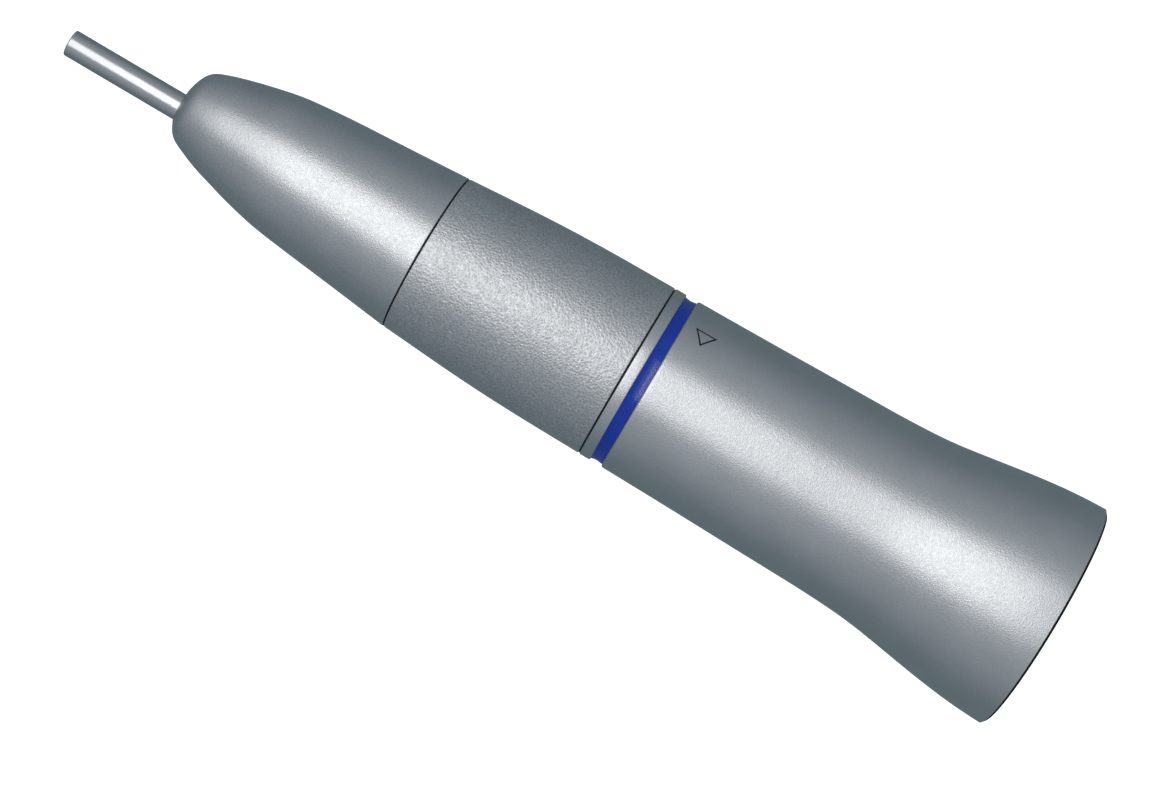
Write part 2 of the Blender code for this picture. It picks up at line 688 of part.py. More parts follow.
def collet_parts():
    """The slotted spring collet with its draw tube, and what pushes it forward to open."""
    outline = [
        (COLLET_HEAD_RADIUS, COLLET_FRONT), (COLLET_RADIUS, TAPER_BACK - RUNNING_GAP),
        (COLLET_RADIUS, COLLET_BACK),
        (COLLET_BORE, COLLET_BACK), (COLLET_BORE, COLLET_FRONT),
    ]
    collet = turned("collet", outline, "bright_steel")
    slot_front = COLLET_FRONT + CUTTER_OVERRUN
    slot_middle = (COLLET_SLOT_BACK + slot_front) / 2
    slot_size = (COLLET_HEAD_RADIUS + CUTTER_OVERRUN, COLLET_SLOT_WIDTH, slot_front - COLLET_SLOT_BACK)
    for index in range(COLLET_SLOTS):
        turn = math.tau * (index + 0.5) / COLLET_SLOTS
        centre = (slot_size[0] / 2 + SLOT_GAP, 0.0, slot_middle)
        cut(collet, box_cutter(f"collet_slot_{index + 1}", slot_size, centre, turn))
    hole_length = 2 * (RELEASE_RADIUS + CUTTER_OVERRUN)
    hole_radius = SMALL_PIN_RADIUS + PIN_HOLE_GAP
    hole = cross_hole("cross_pin_hole", hole_radius, hole_length, CROSS_PIN_HEIGHT, math.pi / 2)
    cut(collet, hole)
    flange_back = GUIDE_PIN_HEIGHT + SHIFT_RING_LENGTH / 2 + RUNNING_GAP
    flange_front = flange_back + RELEASE_FLANGE_LENGTH
    bore = SLIP_BORE + SLIP_GAP
    collar_outline = [
        (RELEASE_FLANGE_RADIUS, flange_front), (RELEASE_FLANGE_RADIUS, flange_back),
        (RELEASE_RADIUS, flange_back), (RELEASE_RADIUS, RELEASE_BACK), (bore, RELEASE_BACK),
        (bore, flange_front),
    ]
    collar = turned("release_collar", collar_outline, "plain_steel")
    cut(collar, hole)
    pin = place("cross_pin", rod_mesh("cross_pin", SMALL_PIN_RADIUS, CROSS_PIN_LENGTH), "bright_steel")
    pin.location = (0.0, 0.0, CROSS_PIN_HEIGHT * MM)
    pin.rotation_euler = (0.0, math.pi / 2, math.pi / 2)
    shank_back = BODY_LENGTH + SHANK_OUT - SHANK_LENGTH
    stop_back = CROSS_PIN_HEIGHT + SMALL_PIN_RADIUS + BUR_STOP_GAP
    plug("bur_stop", BUR_STOP_RADIUS, stop_back, shank_back - BUR_STOP_GAP, "brass")
    shank_front = shank_back + SHANK_LENGTH
    plug("shank_pin", SHANK_RADIUS, shank_back, shank_front, "bright_steel", chamfer=SHANK_CHAMFER)
    seat_back = SPRING_SEAT_BACK
    seat_front = seat_back + SPRING_SEAT_LENGTH
    ring("spring_seat", SLIP_BORE, SPRING_SEAT_RADIUS, seat_back, seat_front, "plain_steel")
    back = flange_front + SEAT_GAP
    coil_spring("collet_spring", COLLET_SPRING_RADIUS, COLLET_SPRING_WIRE, back, seat_back - SEAT_GAP)


def drive_dog():
    """The sprung fork at the back of the spindle, which the motor's own dog turns."""
    outline = [
        (0.0, DOG_FRONT), (DOG_SHAFT_RADIUS, DOG_FRONT), (DOG_SHAFT_RADIUS, DOG_HEAD_FRONT),
        (DOG_HEAD_RADIUS, DOG_HEAD_FRONT), (DOG_HEAD_RADIUS, DOG_BACK + DOG_EDGE),
        (DOG_HEAD_RADIUS - DOG_EDGE, DOG_BACK), (0.0, DOG_BACK),
    ]
    dog = turned("drive_dog", outline, "plain_steel")
    across = 2 * (DOG_HEAD_RADIUS + CUTTER_OVERRUN)
    fork_size = (across, FORK_WIDTH, 2 * FORK_DEPTH)
    width = 2 * (SMALL_PIN_RADIUS + PIN_HOLE_GAP)
    slot_middle = DOG_PIN_HEIGHT - DOG_TRAVEL / 2
    cut(
        dog,
        box_cutter("fork_slot", fork_size, (0.0, 0.0, DOG_BACK)),
        box_cutter("dog_pin_slot", (across, width, DOG_TRAVEL + width), (0.0, 0.0, slot_middle)),
    )
    seat_back = DOG_SEAT_BACK
    plug("dog_spring_seat", DOG_SEAT_RADIUS, seat_back, seat_back + DOG_SEAT_LENGTH, "brass")
    coil_spring("dog_spring", DOG_SPRING_RADIUS, DOG_SPRING_WIRE, DOG_FRONT + SEAT_GAP, seat_back - SEAT_GAP)


clear_scene()
PARTS = new_collection("straight_handpiece")
CUTTERS = new_collection("cutters")
AXIS = new_axis(PARTS)

nose_cone()
front_seals()
bearings()
bearing_tube()
core_and_collar()
rear_sleeve()
coupling_bush()
twist_parts()
shift_parts()
spindle()
collet_parts()
drive_dog()
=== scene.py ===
"""Looks of the straight dental handpiece: fine turned casings, blasted steel, polished steel and a blue ring."""
import json
import math

import bmesh
import bpy
import numpy as np
from mathutils import Matrix, Vector


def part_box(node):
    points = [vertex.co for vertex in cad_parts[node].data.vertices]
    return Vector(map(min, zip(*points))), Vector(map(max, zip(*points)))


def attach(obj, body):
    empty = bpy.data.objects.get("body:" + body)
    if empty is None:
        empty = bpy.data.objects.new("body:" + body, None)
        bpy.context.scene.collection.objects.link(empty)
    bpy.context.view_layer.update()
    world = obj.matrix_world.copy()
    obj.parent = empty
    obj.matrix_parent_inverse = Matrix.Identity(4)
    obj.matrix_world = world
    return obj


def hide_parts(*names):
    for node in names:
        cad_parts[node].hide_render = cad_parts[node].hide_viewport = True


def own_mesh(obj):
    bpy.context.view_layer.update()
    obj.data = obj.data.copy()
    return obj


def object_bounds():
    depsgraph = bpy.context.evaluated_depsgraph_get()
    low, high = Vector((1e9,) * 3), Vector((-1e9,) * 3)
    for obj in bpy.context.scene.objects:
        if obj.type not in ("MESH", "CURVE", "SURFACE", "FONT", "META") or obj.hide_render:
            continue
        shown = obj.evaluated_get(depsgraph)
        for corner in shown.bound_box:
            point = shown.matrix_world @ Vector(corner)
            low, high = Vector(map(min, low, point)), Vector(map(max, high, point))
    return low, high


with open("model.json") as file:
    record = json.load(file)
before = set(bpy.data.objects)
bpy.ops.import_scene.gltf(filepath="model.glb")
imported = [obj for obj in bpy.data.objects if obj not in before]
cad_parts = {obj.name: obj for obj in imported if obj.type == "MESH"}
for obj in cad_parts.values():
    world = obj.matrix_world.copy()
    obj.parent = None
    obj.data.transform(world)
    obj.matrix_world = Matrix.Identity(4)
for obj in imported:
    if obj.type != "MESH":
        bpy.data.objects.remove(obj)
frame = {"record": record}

MM = 0.001
CAD_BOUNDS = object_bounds()

# The finish and the moving body of each node.
SLOT_OF = {part["node"]: part["material_slot"] for part in frame["record"]["subparts"]}
BODY_OF = {node: body for body, nodes in frame["record"]["behaviour"]["bodies"].items() for node in nodes}

# Every length down to the materials is in millimetres. A height is measured along the axis from the rear plane,
# a radius about the axis, and an outline is a row of (height, radius) or (height, radius, rounding of that corner).

# The seams, the groove of the blue ring and the rear rim, from the front back.
NOSE_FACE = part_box("nose_cone")[1].x / MM
NOSE_BACK = 59.26
RING_FRONT = 59.14
RING_BACK = 40.06
COLLAR_FRONT = 39.93
COLLAR_BACK = 38.94
SLEEVE_FRONT = 37.88
RIM_FRONT = 0.4
RIM_BACK = 0.18
SEAM_EDGE = 0.07
SLEEVE_EDGE = 0.2

# The nose outside, as (distance behind its face, mean radius, shift of that circle off the axis), and its bore.
NOSE_LINE = (
    (0.0, 1.72, -0.40), (0.33, 2.52, -0.50), (0.82, 3.13, -0.58), (1.65, 3.58, -0.59), (3.3, 4.19, -0.53),
    (5.0, 4.68, -0.50), (6.6, 5.10, -0.46), (8.24, 5.47, -0.42), (9.9, 5.75, -0.35), (12.4, 6.04, -0.29),
    (14.8, 6.26, -0.23), (17.5, 6.49, -0.16), (20.5, 6.76, -0.08), (23.54, 7.04, 0.0),
)
NOSE_BORE = (
    (NOSE_BACK, 5.3), (66.9, 5.3), (66.9, 4.6), (74.4, 4.6), (74.4, 3.9), (76.4, 3.9), (76.4, 2.9), (79.7, 2.9),
    (79.7, 2.1), (81.4, 2.1), (81.4, 1.25), (NOSE_FACE - 0.12, 1.25), (NOSE_FACE - 0.04, 1.31), (NOSE_FACE, 1.45),
)
TWIST_RING_LINE = (
    (RING_FRONT, 7.04), (56.4, 7.24), (53.9, 7.42), (51.5, 7.57), (49.0, 7.69), (46.0, 7.78), (43.0, 7.83),
    (RING_BACK, 7.86),
)
TWIST_RING_BORE = ((RING_BACK, 6.6), (57.2, 6.6), (57.2, 5.45), (RING_FRONT, 5.45))
COLLAR_OUTLINE = (
    (COLLAR_FRONT, 7.88, 0.09), (COLLAR_BACK, 7.88, 0.11), (COLLAR_BACK, 5.3, 0.05), (COLLAR_FRONT, 5.3, 0.05),
)
SLEEVE_LINE = (
    (SLEEVE_FRONT, 7.895), (33.3, 7.965), (29.2, 8.045), (25.1, 8.135), (21.0, 8.215), (18.5, 8.275),
    (16.85, 8.345), (15.2, 8.445), (13.55, 8.605), (11.9, 8.835), (10.25, 9.095), (8.6, 9.355), (6.95, 9.605),
    (5.3, 9.825), (3.65, 10.005), (2.0, 10.125), (0.25, 10.195),
)
# How far the sleeve's rear edge steps in, as (height ahead of the rim's front, drop in radius).
SLEEVE_TAIL = ((0.03, 0.01), (0.0, 0.05))
SLEEVE_BORE = (
    (RIM_FRONT, 9.65, 0.02), (RIM_BACK, 9.65, 0.03), (RIM_BACK, 9.2, 0.12), (2.6, 9.2), (14.0, 7.1),
    (27.25, 7.1, 0.03), (27.25, 7.4, 0.03), (28.15, 7.4, 0.03), (28.15, 7.1, 0.03), (28.6, 7.1),
    (28.9, 6.95), (SLEEVE_FRONT, 6.95, 0.05),
)
# A black ring on the rear rim's rounded edge, which paints the shade that falls there.
RIM_OUTLINE = (
    (RIM_FRONT - 0.02, 10.1, 0.03), (RIM_BACK, 9.88, 0.05), (RIM_BACK, 9.67, 0.03), (RIM_FRONT - 0.02, 9.67, 0.03),
)
# Black rings at the bottom of the two seams, which paint the shade in the seam gaps, as (name, back, front, bore,
# radius).
SEAM_SHADE_RINGS = (
    ("front_seam_shade", RING_FRONT + 0.03, NOSE_BACK + 0.02, 5.6, 6.98),
    ("rear_seam_shade", COLLAR_FRONT - 0.02, RING_BACK - 0.03, 6.62, 7.79),
)

# The blue ring: its hollow face bends up to a straight slope behind, and its sides reach a little past its groove.
BAND_BORE = 6.95
BAND_FLOOR = 7.62
BAND_RISE = 0.09
BAND_BEND = 0.25
BAND_SLOPE = math.tan(math.radians(8.2))
BAND_OVERLAP = 0.01
BAND_STEPS = 33

# How finely round things are divided.
LATHE_SEGMENTS = 224
SMALL_LATHE_SEGMENTS = 96
HOLE_SEGMENTS = 32
CORNER_STEPS = 5
SLOT_STEPS = 13
GROOVE_STEPS = 9
NOSE_STEPS = 150
TWIST_RING_STEPS = 70
SLEEVE_STEPS = 190
ARC_STEPS = 40
COIL_STEPS = 40
WIRE_SEGMENTS = 12
SHARP_ANGLE = math.radians(38)
MERGE_DISTANCE = 1e-7

# The most of a side that the rounding of one corner takes, and how far a cutter reaches past what it cuts.
CORNER_SHARE = 0.45
CUT_PAST = 1.0

# Inside rings with nothing cut in them as (node, bore, edge), and nuts with two notches as (node, bore).
PLAIN_RINGS = (
    ("front_seal_ring", 1.27, 0.15), ("front_shield", 2.85, 0.08), ("outer_spacer", 3.97, 0.06),
    ("inner_spacer", 2.36, 0.06), ("preload_washer", 3.3, 0.1), ("twist_o_ring", 4.98, 0.18),
    ("spring_seat", 2.36, 0.1),
)
SPANNER_NUTS = (("bearing_nut", 3.3), ("spindle_nut", 2.36), ("rear_bearing_nut", 3.3))
NUT_EDGE = 0.08
NOTCH_HALF_WIDTH = 0.35
NOTCH_DEPTH = 0.4

# Ball bearings.
SLIP_BORE = 2.36
RACE_BORE = 3.97
INNER_RACE_RADIUS = 2.86
RACE_GROOVE = 0.61
BALL_PITCH = 3.42
BALL_RADIUS = 0.58
BALL_CLEARANCE = 0.03
BALLS_PER_BEARING = 7
CAGE_HALF_LENGTH = 0.7
CAGE_BORE = 3.22
CAGE_RADIUS = 3.62

# Turned pieces inside, with the rounding of their corners.
TUBE_OUTLINE = (
    (66.6, 5.2), (58.8, 5.2), (58.8, 4.95), (57.8, 4.95), (57.8, 5.2), (28.0, 5.2), (28.0, 4.55), (32.85, 4.55),
    (32.85, 4.1), (33.75, 4.1), (33.75, 4.55), (66.6, 4.55),
)
TUBE_EDGE = 0.05
CORE_BORE = 5.3
BUSH_OUTLINE = (
    (27.0, 7.0), (2.3, 7.0), (2.3, 9.05), (0.8, 9.05), (0.8, 6.9), (1.8, 6.4), (5.6, 6.4), (5.8, 6.7), (6.6, 6.7),
    (6.8, 6.4), (27.0, 6.4),
)
SOCKET_RADIUS = 6.4
CLIP_GAP = ((26.0, -1.2), (29.0, -1.2), (29.0, 1.2), (26.0, 1.2))
CAM_BORE = 5.35
SHIFT_RING_BORE = 3.3
SPINDLE_OUTLINE = ((79.0, 2.65), (74.6, 2.65), (74.6, 2.3), (24.0, 2.3), (24.0, 1.9), (75.0, 1.9), (79.0, 2.3))
SHAFT_EDGE = 0.05
COLLET_OUTLINE = ((78.3, 2.15), (74.8, 1.8), (45.4, 1.8), (45.4, 1.25), (78.3, 1.25))
JAW_SLOT = (64.15, 80.0, 0.15)
JAWS = 3
RELEASE_OUTLINE = ((49.1, 3.9), (48.0, 3.9), (48.0, 3.1), (45.2, 3.1), (45.2, 2.42), (49.1, 2.42))
DOG_OUTLINE = (
    (30.4, 0.0, 0.0), (30.4, 1.75), (21.5, 1.75), (21.5, 2.6), (14.4, 2.6, 0.1), (14.0, 2.2, 0.1), (14.0, 0.0, 0.0),
)
# The dog's fork: the flare of its mouth as (height, half width), and the place and radius of its round end.
FORK_MOUTH = ((13.0, 1.3), (14.4, 0.8))
FORK_END = 17.2
FORK_HALF_WIDTH = 0.8
TURNED_EDGE = 0.08
SOFT_EDGE = 0.1
BLUNT_EDGE = 0.15

# Pins, as the radius of each pin and the half width of the hole or slot that it sits in.
PIN_RADIUS = 0.4
PIN_HOLE = 0.47
CROSS_PIN_HEIGHT = 46.4
CROSS_PIN_REACH = 2.95
DOG_PIN_HEIGHT = 25.6
DOG_PIN_REACH = 2.25
GUIDE_PIN_HEIGHT = 45.7
GUIDE_PIN_RADIUS = 0.5
GUIDE_HOLE = 0.57
GUIDE_SLOT = 0.62
STOP_PIN_DISTANCE = 5.92
STOP_PIN_RADIUS = 0.35
STOP_PIN_EDGE = 0.08
STOP_HOLE = 0.42
STOP_HOLE_ENDS = (45.0, 30.0)
STOP_NOTCH = 0.47
STOP_NOTCH_ENDS = (39.4, 41.6)

# How deep cutters go: through the shaft's pieces, the shift ring and the tube, and through one wall of the cam.
SHAFT_CUT = 4.0
CHUCK_CUT = 4.5
SHIFT_RING_CUT = 6.0
TUBE_CUT = 7.0
CAM_CUT = (4.0, 8.0)
CAM_BAND = (5.0, 7.5)
CLIP_CUT = (4.0, 9.0)
JAW_CUT = (0.12, 3.2)

# Motions, and the springs as (radius of the coil, radius of the wire, turns).
DOG_TRAVEL = 1.5
CHUCK_TRAVEL = 1.0
TWIST_ANGLE = math.radians(50)
SPRING_GAP = 0.05
COLLET_COIL = (2.9, 0.25, 9)
DOG_COIL = (1.4, 0.2, 11)
CLOSED_PITCH = 1.04

# The etched mark, as (height, way round the casing) of its corners.
MARK_CORNERS = ((36.9, -6.6), (34.9, -6.6), (35.9, -5.03))
MARK_SHRINK = 0.76
MARK_LIFT = 0.006
MARK_DEPTH = 0.03
MARK_STEPS = 12

# The photo's view, in metres: the camera stands over the part's side, a little behind the middle, and looks down.
FOOT_X = 0.0357
CAMERA_DISTANCE = 0.307
LOOK_AT = Vector((0.0426, 0.00398, 0.0))
AXIS_TILT = math.radians(30.54)
LENS = 116.5

# The room, in metres: lights as (name, size, place, radiance), the sky by height and the floor as (radius, rise).
LIGHTS = (
    ("overhead", (0.52, 0.47), (0.24, -0.03, 0.45), 1.04),
    ("strip", (0.006, 0.52), (0.172, -0.005, 0.44), 8.1),
)
SKY = (
    (0.0, (0.147, 0.20, 0.225)), (0.3, (0.166, 0.22, 0.246)), (0.55, (0.246, 0.29, 0.327)),
    (1.0, (0.49, 0.53, 0.58)),
)
FLOOR_GAP = 0.0001
FLOOR_LINE = ((0.0, 0.0), (0.2, 0.0), (0.8, 0.0), (1.4, 0.02), (1.9, 0.2), (2.2, 0.9), (2.3, 2.5))
FLOOR_SEGMENTS = 64
FLOOR_GLOW = 0.85


# --- Curves and turned meshes ------------------------------------------------------------------------------------

def spline(points, count):
    """A natural cubic through the points, with the distance between them as its parameter."""
    values = np.array(points, float)
    steps = np.linalg.norm(np.diff(values[:, :2], axis=0), axis=1)
    knots = np.concatenate([[0.0], np.cumsum(steps)])
    last = len(values) - 1
    system = np.zeros((last + 1, last + 1))
    target = np.zeros_like(values)
    system[0, 0] = 1.0
    system[last, last] = 1.0
    for row in range(1, last):
        system[row, row - 1] = steps[row - 1]
        system[row, row] = 2 * (steps[row - 1] + steps[row])
        system[row, row + 1] = steps[row]
        ahead = (values[row + 1] - values[row]) / steps[row]
        behind = (values[row] - values[row - 1]) / steps[row - 1]
        target[row] = 6 * (ahead - behind)
    bends = np.linalg.solve(system, target)
    where = np.linspace(0.0, knots[-1], count)
    span = np.clip(np.searchsorted(knots, where, side="right") - 1, 0, last - 1)
    width = steps[span][:, None]
    right = (where - knots[span])[:, None]
    left = width - right
    curve = (bends[span] * left**3 + bends[span + 1] * right**3) / (6 * width)
    curve += (values[span] / width - bends[span] * width / 6) * left
    curve += (values[span + 1] / width - bends[span + 1] * width / 6) * right
    return [tuple(point) for point in curve]


def rounded(corners, radius, steps=CORNER_STEPS):
    """A closed outline with each corner rounded, by its own rounding where it has one."""
    outline = []
    count = len(corners)
    for index in range(count):
        corner = np.array(corners[index][:2], float)
        size = corners[index][2] if len(corners[index]) > 2 else radius
        before = np.array(corners[index - 1][:2], float) - corner
        after = np.array(corners[(index + 1) % count][:2], float) - corner
        reach = min(size, CORNER_SHARE * np.linalg.norm(before), CORNER_SHARE * np.linalg.norm(after))
        if reach < 1e-4:
            outline.append(tuple(corner))
            continue
        start = corner + before / np.linalg.norm(before) * reach
        end = corner + after / np.linalg.norm(after) * reach
        for step in range(steps + 1):
            t = step / steps
            outline.append(tuple(start * (1 - t) ** 2 + corner * 2 * t * (1 - t) + end * t**2))
    return outline


def finish_mesh(name, bm):
    mesh = bpy.data.meshes.new(name)
    bmesh.ops.remove_doubles(bm, verts=bm.verts, dist=MERGE_DISTANCE)
    bmesh.ops.recalc_face_normals(bm, faces=bm.faces)
    bm.to_mesh(mesh)
    bm.free()
    mesh.shade_smooth()
    mesh.set_sharp_from_angle(angle=SHARP_ANGLE)
    return mesh


def new_piece(name, mesh, material, body, slot, *nodes):
    piece = bpy.data.objects.new(name, mesh)
    bpy.context.scene.collection.objects.link(piece)
    mesh.materials.clear()
    mesh.materials.append(material)
    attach(piece, body)
    if nodes:
        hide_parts(*nodes)
    return piece


def block_outline(back, front, bore, radius):
    """The four corners of a plain ring's section."""
    return [(front, radius), (back, radius), (back, bore), (front, bore)]


def skinned(bm, sections, around=True, ends=False):
    """Joins each row of corners to the next by faces. A row closes on itself, and if around, so does the whole."""
    last = sections[:1] if around else []
    for first, second in zip(sections, sections[1:] + last):
        for step in range(len(first)):
            after = (step + 1) % len(first)
            bm.faces.new((first[step], first[after], second[after], second[step]))
    if ends:
        bm.faces.new(sections[0])
        bm.faces.new(sections[-1])


def lathe(name, outline, segments=LATHE_SEGMENTS):
    """A mesh turned about the X axis from a closed outline of (height, radius, shift) points in millimetres."""
    bm = bmesh.new()
    angles = [math.tau * step / segments for step in range(segments)]
    circles = []
    for point in outline:
        height, radius = point[0], point[1]
        shift = point[2] if len(point) > 2 else 0.0
        circles.append([
            bm.verts.new((height * MM, (radius * math.sin(angle) + shift) * MM, radius * math.cos(angle) * MM))
            for angle in angles
        ])
    solid = outline[0][1] == 0.0 and outline[-1][1] == 0.0
    skinned(bm, circles, around=not solid)
    return finish_mesh(name, bm)


# --- Materials ---------------------------------------------------------------------------------------------------

# How dark the painted shade in the dents is and how bright the painted glints and rubbed edges are, beside the
# plain colour, the size of the patches that wear comes in, and the shine of what isn't metal.
PIT_SHADE_TONE = 0.45
PAINTED_GLINT_TONE = 1.5
RUBBED_TONE = 1.25
POLISHED_TONE = 1.2
WEAR_SIZE = 0.0009
PLAIN_SPECULAR = 0.15
COAT_ROUGHNESS = 0.085


def node_material(name, colour, metallic, roughness):
    material = bpy.data.materials.new(name)
    material.use_nodes = True
    nodes = material.node_tree.nodes
    shader = nodes["Principled BSDF"]
    shader.inputs["Base Color"].default_value = (*colour, 1.0)
    shader.inputs["Metallic"].default_value = metallic
    shader.inputs["Roughness"].default_value = roughness
    return material, nodes, material.node_tree.links, shader


def noise(nodes, links, coordinates, size, detail=2.0, roughness=0.5):
    """A noise of the given grain size in metres, over the part's own coordinates."""
    texture = nodes.new("ShaderNodeTexNoise")
    texture.inputs["Scale"].default_value = 1.0 / size
    texture.inputs["Detail"].default_value = detail
    texture.inputs["Roughness"].default_value = roughness
    links.new(coordinates, texture.inputs["Vector"])
    return texture.outputs["Fac"]


def remap(nodes, links, value, low, high, from_low=0.35, from_high=0.65):
    range_node = nodes.new("ShaderNodeMapRange")
    range_node.inputs["From Min"].default_value = from_low
    range_node.inputs["From Max"].default_value = from_high
    range_node.inputs["To Min"].default_value = low
    range_node.inputs["To Max"].default_value = high
    links.new(value, range_node.inputs["Value"])
    return range_node.outputs["Result"]


def bump(nodes, links, height, distance, under=None):
    node = nodes.new("ShaderNodeBump")
    node.inputs["Distance"].default_value = distance
    node.inputs["Strength"].default_value = 1.0
    links.new(height, node.inputs["Height"])
    if under is not None:
        links.new(under, node.inputs["Normal"])
    return node.outputs["Normal"]


def own_coordinates(nodes):
    return nodes.new("ShaderNodeTexCoord").outputs["Object"]


def clouded(nodes, links, coordinates, colour, size, spread):
    """The colour, drifting a little darker and lighter in clouds of the given size."""
    ramp = nodes.new("ShaderNodeValToRGB")
    elements = ramp.color_ramp.elements
    for element, place, share in zip(elements, (0.3, 0.7), (1.0 - spread, 1.0 + spread)):
        element.position = place
        element.color = (*(min(1.0, channel * share) for channel in colour), 1.0)
    links.new(noise(nodes, links, coordinates, size, detail=3.0), ramp.inputs["Fac"])
    return ramp.outputs["Color"]


def blend(nodes, links, mask, under, colour):
    """The colour laid over another one where the mask is 1."""
    node = nodes.new("ShaderNodeMix")
    node.data_type = "RGBA"
    links.new(mask, node.inputs[0])
    links.new(under, node.inputs[6])
    node.inputs[7].default_value = (*colour, 1.0)
    return node.outputs[2]


def worn_edges(nodes, links, coordinates, under, colour, most):
    """Handled edges rub to another colour, in patches."""
    edge = remap(nodes, links, nodes.new("ShaderNodeNewGeometry").outputs["Pointiness"], 0.0, most, 0.53, 0.62)
    patches = remap(nodes, links, noise(nodes, links, coordinates, WEAR_SIZE, detail=3.0), 0.2, 1.0)
    node = nodes.new("ShaderNodeMath")
    node.operation = "MULTIPLY"
    links.new(edge, node.inputs[0])
    links.new(patches, node.inputs[1])
    return blend(nodes, links, node.outputs["Value"], under, colour)


def dimples(nodes, links, coordinates, size):
    """Round dents side by side: 0 in the middle of each and near 1 on the ridges between them."""
    texture = nodes.new("ShaderNodeTexVoronoi")
    texture.inputs["Scale"].default_value = 1.0 / size
    links.new(coordinates, texture.inputs["Vector"])
    return texture.outputs["Distance"]


def blasted_steel(name, colour, roughness, grain, depth, wave_depth, pit_shade_share, painted_glint_share=0.0):
    """Bead blasted steel: dents over a slow unevenness. The middles of the dents are darkened as painted shade, and
    a few specks are brightened as painted glints.
    """
    material, nodes, links, shader = node_material(name, colour, 1.0, roughness)
    coordinates = own_coordinates(nodes)
    fine = dimples(nodes, links, coordinates, grain)
    slow = noise(nodes, links, coordinates, grain * 2.5, detail=2.0)
    # Painted shade: the middle of each dent is darkened in the colour.
    pit_shade = remap(nodes, links, fine, pit_shade_share, 0.0, 0.15, 0.50)
    waves = bump(nodes, links, slow, wave_depth)
    links.new(bump(nodes, links, fine, depth, under=waves), shader.inputs["Normal"])
    spread = noise(nodes, links, coordinates, grain * 2.2, detail=3.0)
    links.new(remap(nodes, links, spread, roughness - 0.04, roughness + 0.05), shader.inputs["Roughness"])
    cloud = clouded(nodes, links, coordinates, colour, 0.003, 0.03)
    grain_tone_and_painted_light = blend(nodes, links, pit_shade, cloud, [channel * PIT_SHADE_TONE for channel in colour])
    # Painted glints: a few specks are brightened in the colour.
    glint_noise = noise(nodes, links, coordinates, grain * 0.8, detail=1.0)
    painted_glints = remap(nodes, links, glint_noise, 0.0, painted_glint_share, 0.60, 0.72)
    grain_tone_and_painted_light = blend(nodes, links, painted_glints, grain_tone_and_painted_light, [min(1.0, channel * PAINTED_GLINT_TONE) for channel in colour])
    light = [min(1.0, channel * RUBBED_TONE) for channel in colour]
    links.new(worn_edges(nodes, links, coordinates, grain_tone_and_painted_light, light, 0.7), shader.inputs["Base Color"])
    return material


def turned_metal(name, colour, roughness, line=0.00012, depth=0.0000006, spread=0.035):
    """Turned or ground metal: faint rings round the axis, unevenly deep, and a cloudy roughness."""
    material, nodes, links, shader = node_material(name, colour, 1.0, roughness)
    coordinates = own_coordinates(nodes)
    stretch = nodes.new("ShaderNodeMapping")
    stretch.inputs["Scale"].default_value = (1.0, 0.04, 0.04)
    links.new(coordinates, stretch.inputs["Vector"])
    lines = noise(nodes, links, stretch.outputs["Vector"], line, detail=3.0, roughness=0.6)
    cloud = noise(nodes, links, coordinates, 0.0012, detail=3.0)
    links.new(bump(nodes, links, lines, depth), shader.inputs["Normal"])
    links.new(remap(nodes, links, cloud, roughness - spread, roughness + spread), shader.inputs["Roughness"])
    tone = clouded(nodes, links, coordinates, colour, 0.0015, spread)
    light = [min(1.0, channel * POLISHED_TONE) for channel in colour]
    links.new(worn_edges(nodes, links, coordinates, tone, light, 0.6), shader.inputs["Base Color"])
    return material


def plain_material(name, colour, roughness, grain, depth, coat=0.0):
    """Plastic, rubber or lacquer with a slight grain, a little paler where its edges are rubbed."""
    material, nodes, links, shader = node_material(name, colour, 0.0, roughness)
    shader.inputs["Specular IOR Level"].default_value = PLAIN_SPECULAR
    shader.inputs["Coat Weight"].default_value = coat
    shader.inputs["Coat Roughness"].default_value = COAT_ROUGHNESS
    coordinates = own_coordinates(nodes)
    fine = noise(nodes, links, coordinates, grain, detail=3.0)
    links.new(bump(nodes, links, fine, depth), shader.inputs["Normal"])
    links.new(remap(nodes, links, fine, roughness - 0.05, roughness + 0.06), shader.inputs["Roughness"])
    tone = clouded(nodes, links, coordinates, colour, 0.0012, 0.10)
    pale = [channel * 0.8 + 0.03 for channel in colour]
    links.new(worn_edges(nodes, links, coordinates, tone, pale, 0.5), shader.inputs["Base Color"])
    return material


